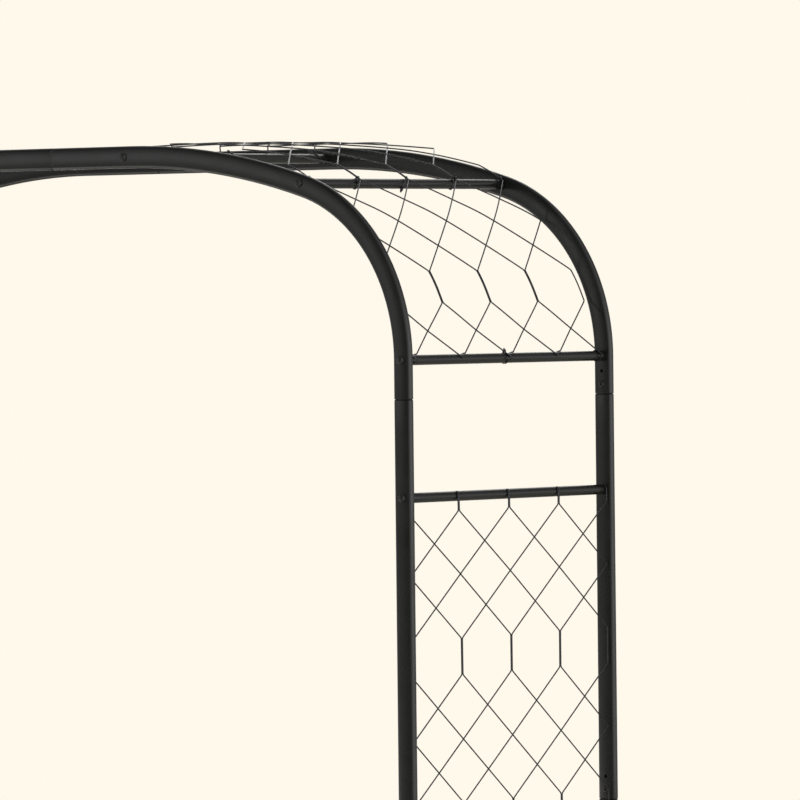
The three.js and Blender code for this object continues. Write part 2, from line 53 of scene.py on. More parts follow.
LEG_X = 819
FRAME_Y = 225
TUBE_WIDE = 33.5
TUBE_DEEP = 12.5
TUBE_END_RADIUS = 5.4
TUBE_WALL = 1.2
LEG_SECTION = 610
LEG_SECTIONS = ["lower", "middle", "upper"]
SPIGOT_LENGTH = 50
SPIGOT_SLACK = 0.35
GAP = 0.3
ARCH_TAIL = 57
SPRING_Z = LEG_SECTION * len(LEG_SECTIONS) + ARCH_TAIL
CORNER_RADIUS = 267
SHOULDER_SLOPE = math.radians(16)
BEND_RADIUS = 1290
RIDGE_HALF = 270
RIDGE_SEAM = 105
BAR_RADIUS = 7.5
BAR_LENGTH = 2 * FRAME_Y - TUBE_DEEP - 2 * GAP
RIDGE_BAR_X = 259
SHOULDER_BAR_INSET = 199
SHOULDER_BAR_LIFT = 2.7
HIGH_BAR_DROP = 201
BOLT_RADIUS = 3
BOLT_BORE = 3.6
BOLT_HEAD_RADIUS = 6.5
BOLT_HEAD_HEIGHT = 3.8
BOLT_REACH = 14
WIRE_RADIUS = 1.05
COLUMNS = 4
COLUMN_PITCH = 106.9
PAIR_HALF = 1.05
LAYER = 0.6
PAIR_LENGTH = 54
SIDE_ROW = 47.2
CORNER_ROW = 48.2
SPRING_ROW = 45.2
SIDE_ZONES = 6
SIDE_LEAD = 18.5
HOOK_RADIUS = BAR_RADIUS + WIRE_RADIUS + GAP
HIGH_HOOK_TURN = math.radians(54)
LOW_HOOK_TURN = math.radians(140)
BAR_WRAP = 8.9
BAR_WRAP_TOP = math.radians(82)
OUTER_TIP = 1.8
INNER_TIP = -4
OUTER_SWING = 1.9
INNER_SWING = 2.22
SHEET_HALF = 216.9
STRETCH = 0.02
HIGH_STRETCH = 0.03
HIGH_SAG = 1.5
HIGH_SAG_TILT = 0.015
HIGH_FADE = 200
RIDGE_SAG = 6
RIDGE_SAG_START = 250
TURN_DOWN = 20
TURN_DOWN_SLOPE = (0.1, -0.9)
TURN_DOWN_CURL = 1 / 60
FOOT_SOLE = 3
FOOT_PLUG = 18

SIDES = {"right": 1, "left": -1}
FRAMES = {"front": -1, "back": 1}

# ---------- what only the looks have ----------

SHARP_ANGLE = math.radians(38)  # edges that turn more than this stay creased
END_STEPS = 18                  # facets of each narrow side of the tube
CROWN_STEPS = 6                 # facets of each flat, slightly crowned side
CORNER_STEPS = 40
BEND_STEPS = 14
RIDGE_STEPS = 5
LEG_STEPS = 13
EDGE_ROLL = 0.9                 # rolled-in rim at a tube's open end
SWAGE_LENGTH = 1.5              # taper from the full tube down to the spigot

SCREW_UP = 14                   # joint screw above its seam
SCREW_RADIUS = 5.2
SCREW_HEIGHT = 2.3
SCREW_RIM = 0.3                 # straight rim below the dome
SOCKET_RADIUS = 1.9             # to the corners of the hexagon
PILOT_UP = 34                   # open pilot hole above the same seam
PILOT_RADIUS = 2.6
PILOT_OUTSIDE = 1.0             # how far its cutter starts outside the tube
PILOT_PAST = 0.6                # and how far it goes past the spigot's wall

BAR_FACETS = 40
BAR_BORE_DEPTH = 12
BOLT_RIM = 0.7                  # straight rim below the bolt's dome
FOOT_RIBS = 4
FOOT_RIB_PITCH = 3.6
FOOT_RIB_START = 1.5            # above the sole

WIRE_SIDES = 10
WIRE_BEND = 1.8                 # half the length of a rounded bend in a wire
WIRE_STEP = 5                   # spacing of points along a bent sheet
HOOK_STEP = 1.2                 # the same on a hook
MARK_GAP = 0.2                  # points of a wire that are closer than this are merged
TANGENT_REACH = 4               # to both sides of the place where a sheet's direction is taken

STRAP_THICK = 1.1
STRAP_WIDE = 2.6
STRAP_BEVEL = 0.3
STRAP_CLEAR = 0.25              # between the bar and the strap
STRAP_POINT_RADIUS = 1.7        # of the strap where it turns over the wires
TIE_HEAD = (4.6, 4.8, 4.4)
TIE_HEAD_ROUND = 0.8
TIE_HEAD_LIFT = 2.2             # of the head's middle above the strap
TAIL_LIFT = 4.0                 # of the tail's root above the strap
TAIL_ROUND = 0.2


def corner_point(turn):
    return (CORNER_RADIUS * (1 - math.cos(turn)), CORNER_RADIUS * math.sin(turn))


BEND_START = corner_point(math.pi / 2 - SHOULDER_SLOPE)
BEND_CENTRE = (LEG_X - RIDGE_HALF, BEND_START[1] - BEND_RADIUS * math.cos(SHOULDER_SLOPE))
RIDGE_RISE = BEND_CENTRE[1] + BEND_RADIUS


def rise_on_bend(inset):
    return BEND_CENTRE[1] + math.sqrt(BEND_RADIUS ** 2 - (BEND_CENTRE[0] - inset) ** 2)


SIDE_FALL = 2 * SIDE_LEAD + SIDE_ZONES * 4 * SIDE_ROW + (SIDE_ZONES - 1) * PAIR_LENGTH
BARS = {
    "ridge_bar": (LEG_X - RIDGE_BAR_X, RIDGE_RISE),
    "shoulder_bar": (SHOULDER_BAR_INSET, rise_on_bend(SHOULDER_BAR_INSET) + SHOULDER_BAR_LIFT),
    "spring_bar": (0, 0),
    "high_bar": (0, -HIGH_BAR_DROP),
    "low_bar": (0, -HIGH_BAR_DROP - SIDE_FALL),
}


def place(side, inset, y, rise):
    return np.array([SIDES[side] * (LEG_X - inset), y, SPRING_Z + rise])


# ---------- materials ----------

class Nodes:
    """A short way to write a material's or world's nodes."""

    def __init__(self, owner):
        owner.use_nodes = True
        self.tree = owner.node_tree
        self.tree.nodes.clear()

    def add(self, kind, settings=None, **inputs):
        node = self.tree.nodes.new(kind)
        for key, value in (settings or {}).items():
            setattr(node, key, value)
        for key, value in inputs.items():
            socket = node.inputs[int(key[1:])] if key[0] == "_" else node.inputs[key.replace("_", " ")]
            if isinstance(value, bpy.types.NodeSocket):
                self.tree.links.new(value, socket)
            else:
                socket.default_value = value
        return node

    def math(self, operation, first, second=0.0):
        return self.add("ShaderNodeMath", {"operation": operation}, _0=first, _1=second).outputs[0]

    def spread(self, value, low, high, to_low=0.0, to_high=1.0):
        node = self.add("ShaderNodeMapRange", None, _0=value, _1=low, _2=high, _3=to_low, _4=to_high)
        return node.outputs[0]

    def noise(self, size_mm, detail=3.0, roughness=0.55, stretch=(1, 1, 1)):
        """Noise whose blobs are about size_mm across, from 0 to 1."""
        where = self.add("ShaderNodeTexCoord").outputs["Object"]
        if stretch != (1, 1, 1):
            where = self.add("ShaderNodeMapping", None, Vector=where, Scale=stretch).outputs[0]
        node = self.add("ShaderNodeTexNoise", None, Vector=where, Scale=1 / (size_mm * MM),
                        Detail=detail, Roughness=roughness)
        return node.outputs["Fac"]

    def blend(self, factor, first, second):
        node = self.add("ShaderNodeMix", {"data_type": "RGBA"}, _0=factor, _6=first, _7=second)
        return node.outputs[2]

    def bump(self, height, depth_mm, strength, below=None):
        node = self.add("ShaderNodeBump", None, Height=height, Distance=depth_mm * MM, Strength=strength)
        if below is not None:
            self.tree.links.new(below, node.inputs["Normal"])
        return node.outputs[0]

    def finish(self, metallic=0.0, specular=0.5, **linked):
        shader = self.add("ShaderNodeBsdfPrincipled", None, Metallic=metallic, **linked)
        shader.inputs["Specular IOR Level"].default_value = specular
        self.add("ShaderNodeOutputMaterial", None, Surface=shader.outputs[0])


def grey(value, green=1.0, blue=1.0):
    return (value, value * green, value * blue, 1)


def powder_coat():
    """Satin black powder coat: fine orange peel, faint mottling, rubbed lighter on sharp rims."""
    material = bpy.data.materials.new("powder_coat")
    n = Nodes(material)
    mottle = n.spread(n.noise(55, 4), 0.35, 0.68)
    speckle = n.spread(n.noise(0.9, 2), 0.3, 0.75)
    rim = n.spread(n.add("ShaderNodeNewGeometry").outputs["Pointiness"], 0.56, 0.68)
    worn = n.math("MULTIPLY", rim, n.spread(n.noise(3, 3), 0.35, 0.6))
    tone = n.blend(mottle, grey(0.0048, 1.12, 0.92), grey(0.0078, 1.1, 0.9))
    tone = n.blend(n.math("MULTIPLY", speckle, 0.35), tone, grey(0.015, 1.08, 0.95))
    tone = n.blend(n.math("MULTIPLY", worn, 0.5), tone, grey(0.075, 0.99, 0.97))
    roughness = n.math("ADD", n.spread(mottle, 0, 1, 0.25, 0.32), n.math("MULTIPLY", speckle, 0.06))
    peel = n.bump(n.noise(1.6, 2), 0.05, 0.35)
    grain = n.bump(n.noise(0.35, 1), 0.02, 0.3, peel)
    n.finish(specular=0.45, Base_Color=tone, Roughness=roughness, Normal=grain)
    return material


def wire_coat():
    """Thin dark coat on drawn steel wire: a little glossier, with thin spots that show grey."""
    material = bpy.data.materials.new("wire_coat")
    n = Nodes(material)
    patch = n.spread(n.noise(14, 3), 0.4, 0.7)
    thin = n.spread(n.noise(2.2, 3), 0.52, 0.75)
    tone = n.blend(patch, grey(0.006, 1.05, 1.5), grey(0.011, 1.04, 1.4))
    tone = n.blend(n.math("MULTIPLY", thin, 0.4), tone, grey(0.03, 1.0, 1.1))
    roughness = n.spread(patch, 0, 1, 0.24, 0.36)
    normal = n.bump(n.noise(0.7, 2), 0.02, 0.25)
    n.finish(specular=0.38, Base_Color=tone, Roughness=roughness, Normal=normal)
    return material


def bolt_black():
    """Black oxide on steel: blotchy, with brighter steel where a driver or hand has rubbed it."""
    material = bpy.data.materials.new("bolt_black")
    n = Nodes(material)
    blotch = n.spread(n.noise(2.4, 4), 0.35, 0.7)
    rim = n.spread(n.add("ShaderNodeNewGeometry").outputs["Pointiness"], 0.54, 0.66)
    worn = n.math("MULTIPLY", rim, n.spread(n.noise(1.1, 2), 0.4, 0.62))
    tone = n.blend(blotch, grey(0.009, 0.98, 0.96), grey(0.02, 0.95, 0.92))
    tone = n.blend(n.math("MULTIPLY", worn, 0.3), tone, grey(0.08, 0.98, 0.95))
    roughness = n.spread(blotch, 0, 1, 0.4, 0.55)
    normal = n.bump(n.noise(0.3, 2), 0.02, 0.3)
    n.finish(metallic=0.1, Base_Color=tone, Roughness=roughness, Normal=normal)
    return material


def foot_plastic():
    """Moulded black plastic with a fine pebbled grain, dusty on the rim that meets the ground."""
    material = bpy.data.materials.new("foot_plastic")
    n = Nodes(material)
    where = n.add("ShaderNodeTexCoord").outputs["Object"]
    height = n.add("ShaderNodeSeparateXYZ", None, Vector=where).outputs[2]
    low = n.spread(height, 0.0, 0.0025, 1.0, 0.0)
    dust = n.math("MULTIPLY", low, n.spread(n.noise(2.5, 4), 0.35, 0.65))
    pebble = n.add("ShaderNodeTexVoronoi", None, Vector=where, Scale=1 / (0.6 * MM)).outputs["Distance"]
    tone = n.blend(n.spread(n.noise(9, 3), 0.3, 0.7), grey(0.011), grey(0.018))
    tone = n.blend(n.math("MULTIPLY", dust, 0.55), tone, grey(0.11, 0.93, 0.82))
    roughness = n.spread(dust, 0, 1, 0.55, 0.85)
    n.finish(Base_Color=tone, Roughness=roughness, Normal=n.bump(pebble, 0.05, 0.4))
    return material


def tie_nylon():
    """Black nylon strap: waxy, faintly streaked along its drawn surface."""
    material = bpy.data.materials.new("tie_nylon")
    n = Nodes(material)
    streak = n.spread(n.noise(1.5, 3, stretch=(1, 3, 1)), 0.35, 0.7)
    tone = n.blend(streak, grey(0.006, 1.02, 1.1), grey(0.012, 1.03, 1.15))
    roughness = n.spread(streak, 0, 1, 0.34, 0.5)
    n.finish(Base_Color=tone, Roughness=roughness, Normal=n.bump(n.noise(0.5, 2), 0.03, 0.3))
    return material


MATERIALS = {
    "powder_coat": powder_coat(),
    "wire_coat": wire_coat(),
    "bolt_black": bolt_black(),
    "foot_plastic": foot_plastic(),
    "tie_nylon": tie_nylon(),
}

# ---------- meshes ----------

class Shell:
    """Gathers the rings of one piece's surfaces."""

    def __init__(self):
        self.points = []
        self.faces = []

    def loft(self, rings, loop=False, caps=True):
        """Skins a row of rings of equal length; a loop joins its last ring to its first."""
        count = len(rings[0])
        first = len(self.points)
        self.points.extend(point for ring in rings for point in ring)
        rows = len(rings) if loop else len(rings) - 1
        for row in range(rows):
            a = first + row * count
            b = first + ((row + 1) % len(rings)) * count
            for i in range(count):
                j = (i + 1) % count
                self.faces.append((a + i, a + j, b + j, b + i))
        if caps and not loop:
            self.faces.append(tuple(range(first, first + count))[::-1])
            last = first + (len(rings) - 1) * count
            self.faces.append(tuple(range(last, last + count)))
        return self


def to_mesh(name, shell):
    mesh = bpy.data.meshes.new(name)
    mesh.from_pydata([tuple(point * MM) for point in shell.points], [], shell.faces)
    bm = bmesh.new()
    bm.from_mesh(mesh)
    bmesh.ops.recalc_face_normals(bm, faces=bm.faces)
    bm.to_mesh(mesh)
    bm.free()
    mesh.shade_smooth()
    mesh.set_sharp_from_angle(angle=SHARP_ANGLE)
    return mesh


def add_object(name, mesh):
    obj = bpy.data.objects.new(name, mesh)
    bpy.context.scene.collection.objects.link(obj)
    return obj


def add_piece(name, shell, finish, nodes=(), cutter=None):
    obj = add_object(name, to_mesh(name, shell))
    if cutter is not None and cutter.points:
        cut(obj, cutter)
    obj.data.materials.clear()
    obj.data.materials.append(MATERIALS[finish])
    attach(obj, "root")
    if nodes:
        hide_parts(*nodes)
    return obj


def cut(obj, cutter):
    """Takes the cutter's solids out of the piece."""
    tool = add_object(obj.name + "_cutter", to_mesh(obj.name + "_cutter", cutter))
    boolean = obj.modifiers.new("cut", "BOOLEAN")
    boolean.operation = "DIFFERENCE"
    boolean.solver = "EXACT"
    boolean.object = tool
    bpy.context.view_layer.update()
    evaluated = obj.evaluated_get(bpy.context.evaluated_depsgraph_get())
    mesh = bpy.data.meshes.new_from_object(evaluated)
    obj.modifiers.clear()
    obj.data = mesh
    bpy.data.objects.remove(tool)
    mesh.shade_smooth()
    mesh.set_sharp_from_angle(angle=SHARP_ANGLE)


def circle(centre, radius, across, along, sides):
    """Ring of points round a centre, in the plane of two directions."""
    turns = np.arange(sides) * 2 * math.pi / sides
    return [centre + radius * (math.cos(t) * across + math.sin(t) * along) for t in turns]


def turned(shell, base, axis, profile, sides=32):
    """Surface turned round an axis, from (radius, height) pairs; a radius may depend on the angle."""
    across = np.cross(axis, UP if abs(axis[2]) < 0.9 else DEPTH_AXIS)
    across = across / np.linalg.norm(across)
    along = np.cross(axis, across)
    rings = []
    for radius, height in profile:
        ring = []
        for i in range(sides):
            turn = 2 * math.pi * i / sides
            reach = radius(turn) if callable(radius) else radius
            spoke = math.cos(turn) * across + math.sin(turn) * along
            ring.append(base + height * axis + reach * spoke)
        rings.append(ring)
    return shell.loft(rings)


# ---------- frame tube ----------

# The section is an oval of four arcs: two narrow ends, and two flat sides with a slight crown.
END_CENTRE = TUBE_WIDE / 2 - TUBE_END_RADIUS
CROWN_RADIUS = ((END_CENTRE ** 2 + (TUBE_DEEP / 2) ** 2 - TUBE_END_RADIUS ** 2)
                / (TUBE_DEEP - 2 * TUBE_END_RADIUS))
CROWN_TURN = math.asin(END_CENTRE / (CROWN_RADIUS - TUBE_END_RADIUS))


def oval(outset):
    """Outline of the section moved outwards: (along the wide way, along the depth)."""
    points = []
    for end in (1, -1):
        for turn in np.linspace(CROWN_TURN - math.pi / 2, math.pi / 2 - CROWN_TURN, END_STEPS + 1):
            radius = TUBE_END_RADIUS + outset
            points.append((end * (END_CENTRE + radius * math.cos(turn)), end * radius * math.sin(turn)))
        for turn in np.linspace(CROWN_TURN, -CROWN_TURN, CROWN_STEPS + 1)[1:-1]:
            radius = CROWN_RADIUS + outset
            over = radius * math.cos(turn) - CROWN_RADIUS + TUBE_DEEP / 2
            points.append((end * radius * math.sin(turn), end * over))
    return points


def tube_ring(station, outset, advance=0.0):
    """Ring round the tube's centreline at a station (centre, wide way, tangent)."""
    centre, wide, tangent = station
    return [centre + advance * tangent + a * wide + b * DEPTH_AXIS for a, b in oval(outset)]


SPIGOT_OUTSET = -TUBE_WALL - SPIGOT_SLACK

# Profiles of the tube's ends: how far along the tube from its last station, and how far outside
# its surface.
OPEN_END = [
    (0.0, -TUBE_WALL), (0.0, -EDGE_ROLL * 0.75), (EDGE_ROLL * 0.1, -EDGE_ROLL * 0.45),
    (EDGE_ROLL * 0.35, -EDGE_ROLL * 0.2), (EDGE_ROLL * 0.8, -EDGE_ROLL * 0.03), (EDGE_ROLL * 1.2, 0.0),
]
SWAGED_END = [
    (-SWAGE_LENGTH * 1.2, 0.0), (-SWAGE_LENGTH * 0.8, -0.08), (-SWAGE_LENGTH * 0.45, -0.45),
    (-SWAGE_LENGTH * 0.15, -1.15), (0.0, SPIGOT_OUTSET), (SPIGOT_LENGTH - 1, SPIGOT_OUTSET),
    (SPIGOT_LENGTH, SPIGOT_OUTSET - 0.5), (SPIGOT_LENGTH, SPIGOT_OUTSET - TUBE_WALL),
]
PLAIN_END = [(-advance, outset) for advance, outset in reversed(OPEN_END)]


def tube_shell(stations, end):
    """Hollow tube along its stations, open and rolled in at the start."""
    rings = [tube_ring(stations[0], outset, advance) for advance, outset in OPEN_END]
    rings += [tube_ring(station, 0.0) for station in stations[1:-1]]
    rings += [tube_ring(stations[-1], outset, advance) for advance, outset in end]
    inside = end[-1][1]
    rings += [tube_ring(station, inside) for station in reversed(stations[1:-1])]
    return Shell().loft(rings, loop=True)


def bore(shell, x, z, y_from, y_to, radius, sides=24):
    """Adds a rod along Y to a cutter."""
    shell.loft([circle(np.array([x, y, z]), radius, SPAN_AXIS, UP, sides) for y in (y_from, y_to)])


def joint_holes(cutter, frame_name, x, z):
    """The pilot hole through the wall of a tube and the spigot in it, on the inward face."""
    inward = -FRAMES[frame_name]
    face = FRAMES[frame_name] * FRAME_Y + inward * TUBE_DEEP / 2
    depth = 2 * TUBE_WALL + SPIGOT_SLACK + PILOT_PAST
    ends = sorted((face + inward * PILOT_OUTSIDE, face - inward * depth))
    bore(cutter, x, z, ends[0], ends[1], PILOT_RADIUS)


def bolt_holes(cutter, side, frame_name, names):
    """The bores that the bar bolts go through, right across the tube."""
    y = FRAMES[frame_name] * FRAME_Y
    for name in names:
        inset, rise = BARS[name]
        x, _, z = place(side, inset, y, rise)
        bore(cutter, x, z, y - TUBE_DEEP, y + TUBE_DEEP, BOLT_BORE)


def hexagon(corner_radius):
    """Radius of a hexagon by angle."""
    flat = corner_radius * math.cos(math.pi / 6)
    return lambda turn: flat / math.cos((turn % (math.pi / 3)) - math.pi / 6)


def joint_screw(shell, frame_name, x, z):
    """Button-head screw with a hexagon socket, on the tube's inward face."""
    inward = -FRAMES[frame_name]
    axis = inward * DEPTH_AXIS
    base = np.array([x, FRAMES[frame_name] * FRAME_Y + inward * TUBE_DEEP / 2, z])
    dome = [(SCREW_RADIUS * math.cos(t), SCREW_RIM + (SCREW_HEIGHT - SCREW_RIM) * math.sin(t))
            for t in np.linspace(0, math.radians(62), 8)]
    socket = hexagon(SOCKET_RADIUS)
    turned(shell, base, axis, [
        (SCREW_RADIUS * 0.5, -TUBE_WALL), (SCREW_RADIUS * 0.5, 0.0), (SCREW_RADIUS * 0.96, 0.0), *dome,
        (socket, SCREW_HEIGHT * 0.9), (socket, SCREW_HEIGHT * 0.25), (0.2, SCREW_HEIGHT * 0.15),
    ])


def leg_station(side, frame_name, z):
    centre = np.array([SIDES[side] * LEG_X, FRAMES[frame_name] * FRAME_Y, z])
    return (centre, SPAN_AXIS, UP)


def build_leg(side, frame_name, index):
    start = index * LEG_SECTION + (FOOT_SOLE + GAP if index == 0 else GAP / 2)
    end = (index + 1) * LEG_SECTION - GAP / 2
    stations = [leg_station(side, frame_name, z) for z in np.linspace(start, end, LEG_STEPS + 1)]
    cutter = Shell()
    x = SIDES[side] * LEG_X
    if index > 0:
        joint_holes(cutter, frame_name, x, index * LEG_SECTION + PILOT_UP)
    joint_holes(cutter, frame_name, x, (index + 1) * LEG_SECTION + PILOT_UP)
    held = [name for name, (inset, rise) in BARS.items() if inset == 0 and start < SPRING_Z + rise < end]
    bolt_holes(cutter, side, frame_name, held)
    node = f"{side}_{frame_name}_leg_{LEG_SECTIONS[index]}"
    add_piece(f"{node}_tube", tube_shell(stations, SWAGED_END), "powder_coat", [node], cutter)


def arch_station(side, y, point, normal):
    """Station from inset and rise, with the outward way of the tube's wide side."""
    centre = place(side, point[0], y, point[1])
    wide = np.array([-SIDES[side] * normal[0], 0.0, normal[1]])
    tangent = np.array([-SIDES[side] * normal[1], 0.0, -normal[0]])
    return (centre, wide, tangent)


def arch_stations(side, y, reach):
    """Stations of an arch piece, from its tail to the ridge, reaching past the middle of the span."""
    out = (-1.0, 0.0)
    line = [((0.0, GAP / 2 - ARCH_TAIL), out), ((0.0, -ARCH_TAIL / 2), out)]
    for turn in np.linspace(0, math.pi / 2 - SHOULDER_SLOPE, CORNER_STEPS + 1):
        line.append((corner_point(turn), (-math.cos(turn), math.sin(turn))))
    for slope in np.linspace(SHOULDER_SLOPE, 0, BEND_STEPS + 1)[1:]:
        point = (BEND_CENTRE[0] - BEND_RADIUS * math.sin(slope),
                 BEND_CENTRE[1] + BEND_RADIUS * math.cos(slope))
        line.append((point, (-math.sin(slope), math.cos(slope))))
    for inset in np.linspace(LEG_X - RIDGE_HALF, LEG_X + reach, RIDGE_STEPS + 1)[1:]:
        line.append(((inset, RIDGE_RISE), (0.0, 1.0)))
    return [arch_station(side, y, point, normal) for point, normal in line]


def build_arch_piece(side, frame_name, is_long):
    y = FRAMES[frame_name] * FRAME_Y
    reach = (RIDGE_SEAM if is_long else -RIDGE_SEAM) - GAP / 2
    cutter = Shell()
    joint_holes(cutter, frame_name, SIDES[side] * LEG_X, len(LEG_SECTIONS) * LEG_SECTION + PILOT_UP)
    seam_x = -SIDES[side] * (RIDGE_SEAM if is_long else -RIDGE_SEAM)
    long_way = -SIDES[side] if is_long else SIDES[side]
    joint_holes(cutter, frame_name, seam_x + long_way * PILOT_UP, SPRING_Z + RIDGE_RISE)
    bolt_holes(cutter, side, frame_name, ["ridge_bar", "shoulder_bar", "spring_bar"])
    node = f"{side}_{frame_name}_arch_{'long' if is_long else 'short'}"
    shell = tube_shell(arch_stations(side, y, reach), SWAGED_END if is_long else PLAIN_END)
    add_piece(f"{node}_tube", shell, "powder_coat", [node], cutter)


def build_joint_screws(side, frame_name):
    """The three screws of a leg's joints, and the ridge joint's screw with the long piece."""
    screws = Shell()
    for index in range(1, len(LEG_SECTIONS) + 1):
        joint_screw(screws, frame_name, SIDES[side] * LEG_X, index * LEG_SECTION + SCREW_UP)
    if is_long_piece(side, frame_name):
        x = -SIDES[side] * (RIDGE_SEAM + SCREW_UP)
        joint_screw(screws, frame_name, x, SPRING_Z + RIDGE_RISE)
    add_piece(f"{side}_{frame_name}_joint_screws", screws, "bolt_black")


def is_long_piece(side, frame_name):
    return (side == "left") == (frame_name == "front")


# ---------- bars, bolts and feet ----------

def build_bar(side, name):
    half = BAR_LENGTH / 2
    bar = Shell()
    inset, rise = BARS[name]
    profile = [(BOLT_BORE, -half + BAR_BORE_DEPTH), (BOLT_BORE, -half + 0.3), (BAR_RADIUS - 0.7, -half),
               (BAR_RADIUS - 0.2, -half + 0.2), (BAR_RADIUS, -half + 0.8)]
    profile += [(BAR_RADIUS, along) for along in np.linspace(-half + 30, half - 30, 5)]
    profile += [(radius, -along) for radius, along in reversed(profile[:5])]
    turned(bar, place(side, inset, 0, rise), DEPTH_AXIS, profile, BAR_FACETS)
    add_piece(f"{side}_{name}_rod", bar, "powder_coat", [f"{side}_{name}"])


def build_bolt(side, frame_name, name):
    inset, rise = BARS[name]
    out = FRAMES[frame_name]
    base = place(side, inset, out * (FRAME_Y + TUBE_DEEP / 2), rise)
    dome = [(BOLT_HEAD_RADIUS * math.cos(t), BOLT_RIM + (BOLT_HEAD_HEIGHT - BOLT_RIM) * math.sin(t))
            for t in np.linspace(0, math.radians(86), 10)]
    bolt = Shell()
    turned(bolt, base, out * DEPTH_AXIS, [
        (BOLT_RADIUS * 0.8, -TUBE_DEEP - BOLT_REACH),
        (BOLT_RADIUS, -TUBE_DEEP - BOLT_REACH + 0.8), (BOLT_RADIUS, 0.0),
        (BOLT_HEAD_RADIUS * 0.96, 0.0), (BOLT_HEAD_RADIUS, 0.25), *dome,
    ])
    node = f"{side}_{frame_name}_{name}_bolt"
    add_piece(f"{node}_dome", bolt, "bolt_black", [node])


def build_foot(side, frame_name):
    """Moulded foot: a sole with a rounded rim under the tube, and a ribbed plug up inside it."""
    station = leg_station(side, frame_name, 0.0)
    profile = [(0.0, -2.2), (0.1, -1.1), (0.45, -0.35), (1.1, 0.0), (FOOT_SOLE - 0.3, 0.0),
               (FOOT_SOLE, -0.3), (FOOT_SOLE, SPIGOT_OUTSET - 0.2)]
    for rib in range(FOOT_RIBS):
        low = FOOT_SOLE + FOOT_RIB_START + rib * FOOT_RIB_PITCH
        profile += [(low, SPIGOT_OUTSET - 0.6), (low + 0.9, SPIGOT_OUTSET), (low + 1.5, SPIGOT_OUTSET),
                    (low + 2.2, SPIGOT_OUTSET - 0.6)]
    profile += [(FOOT_PLUG, SPIGOT_OUTSET - 0.8)]
    foot = Shell().loft([tube_ring(station, outset, advance) for advance, outset in profile])
    node = f"{side}_{frame_name}_foot_cap"
    add_piece(f"{node}_plug", foot, "foot_plastic", [node])


# ---------- wire mesh ----------

def hook_point(bar, start, turn, away):
    """Point and outward way of a wire that turns round a bar."""
    angle = start + turn
    out = np.array([math.cos(angle), math.sin(angle)])
    return np.array(bar) + away * out, out


def high_pull(s):
    """How much of the pull at the high bar is left at a distance down the side panel."""
    return math.exp(-max(s, 0) / HIGH_FADE)


def side_sheet(s, y, layer):
    """Point and outward way of a side panel, as inset and rise, at a distance down it."""
    if s < 0:
        return hook_point(BARS["high_bar"], math.pi, s / HOOK_RADIUS, HOOK_RADIUS)
    if s > SIDE_FALL:
        return hook_point(BARS["low_bar"], math.pi, (s - SIDE_FALL) / HOOK_RADIUS, HOOK_RADIUS)
    sag = min(s / SIDE_LEAD, 1) * high_pull(s) * (HIGH_SAG - HIGH_SAG_TILT * y)
    return np.array([-HOOK_RADIUS, BARS["high_bar"][1] - s - sag]), np.array([-1.0, 0.0])


def side_pull(s, y):
    """Where a side panel is pulled to along Y; it is held back to SHEET_HALF."""
    return y + (STRETCH + HIGH_STRETCH * high_pull(s)) * (y - COLUMN_PITCH)


def catmull_rom(controls, count):
    """Smooth line through the given points, as many steps to each stretch."""
    p = np.array(controls, float)
    p = np.vstack([p[0], p, p[-1]])
    line = []
    for i in range(1, len(p) - 2):
        for t in np.arange(count) / count:
            velocity_in = (p[i + 1] - p[i - 1]) * 0.5
            velocity_out = (p[i + 2] - p[i]) * 0.5
            span = p[i + 1] - p[i]
            line.append(p[i] + velocity_in * t + (3 * span - 2 * velocity_in - velocity_out) * t ** 2
                        + (velocity_in + velocity_out - 2 * span) * t ** 3)
    line.append(p[-1])
    return np.array(line)


CORNER_LINE = catmull_rom([
    (-HOOK_RADIUS, 0), (9, 40), (27.5, 82.5), (54, 130), (113, 204), (148.6, 236.8), (193.6, 269.8),
    (234.6, 290.2), (281, 307), (329, 317.5), (426, 328), (500, 329.5), (578, 326.5),
], count=40)
CORNER_AT = np.concatenate([[0], np.cumsum(np.linalg.norm(np.diff(CORNER_LINE, axis=0), axis=1))])
CORNER_RUN = CORNER_AT[-1]


def on_corner_line(s):
    return np.array([np.interp(s, CORNER_AT, CORNER_LINE[:, k]) for k in (0, 1)])


def ridge_sag(s, y):
    """The level part of a corner panel sags towards the front frame."""
    along = min(max((s - RIDGE_SAG_START) / (CORNER_RUN - RIDGE_SAG_START), 0), 1)
    forward = max(COLUMN_PITCH - y, 0) / (3 * COLUMN_PITCH)
    return RIDGE_SAG * along * forward ** 2


def over_spring_bar(s):
    """A wire of the inner family: from the row above the spring bar over it and down behind it."""
    turn = min(s - BAR_WRAP, 0) / HOOK_RADIUS
    on_bar, _ = hook_point(BARS["spring_bar"], BAR_WRAP_TOP, turn, HOOK_RADIUS)
    if s < BAR_WRAP:
        return on_bar, np.zeros(2)
    share = (s - BAR_WRAP) / (SPRING_ROW - BAR_WRAP)
    return on_bar + (on_corner_line(SPRING_ROW) - on_bar) * share, np.array([-1.0, 0.0])


def corner_sheet(s, y, layer):
    """The same for a corner panel, from the spring bar up and over to the ridge bar."""
    if layer < 0 and s < SPRING_ROW:
        return over_spring_bar(s)
    along = min(s, CORNER_RUN)
    ahead = on_corner_line(min(along + TANGENT_REACH, CORNER_RUN))
    behind = on_corner_line(max(along - TANGENT_REACH, 0))
    tangent = (ahead - behind) / np.linalg.norm(ahead - behind)
    past = max(s - CORNER_RUN, 0)
    move = np.array([past * TURN_DOWN_SLOPE[0] - past ** 2 * TURN_DOWN_CURL,
                     past * TURN_DOWN_SLOPE[1] - ridge_sag(s, y)])
    return on_corner_line(along) + move, np.array([-tangent[1], tangent[0]])


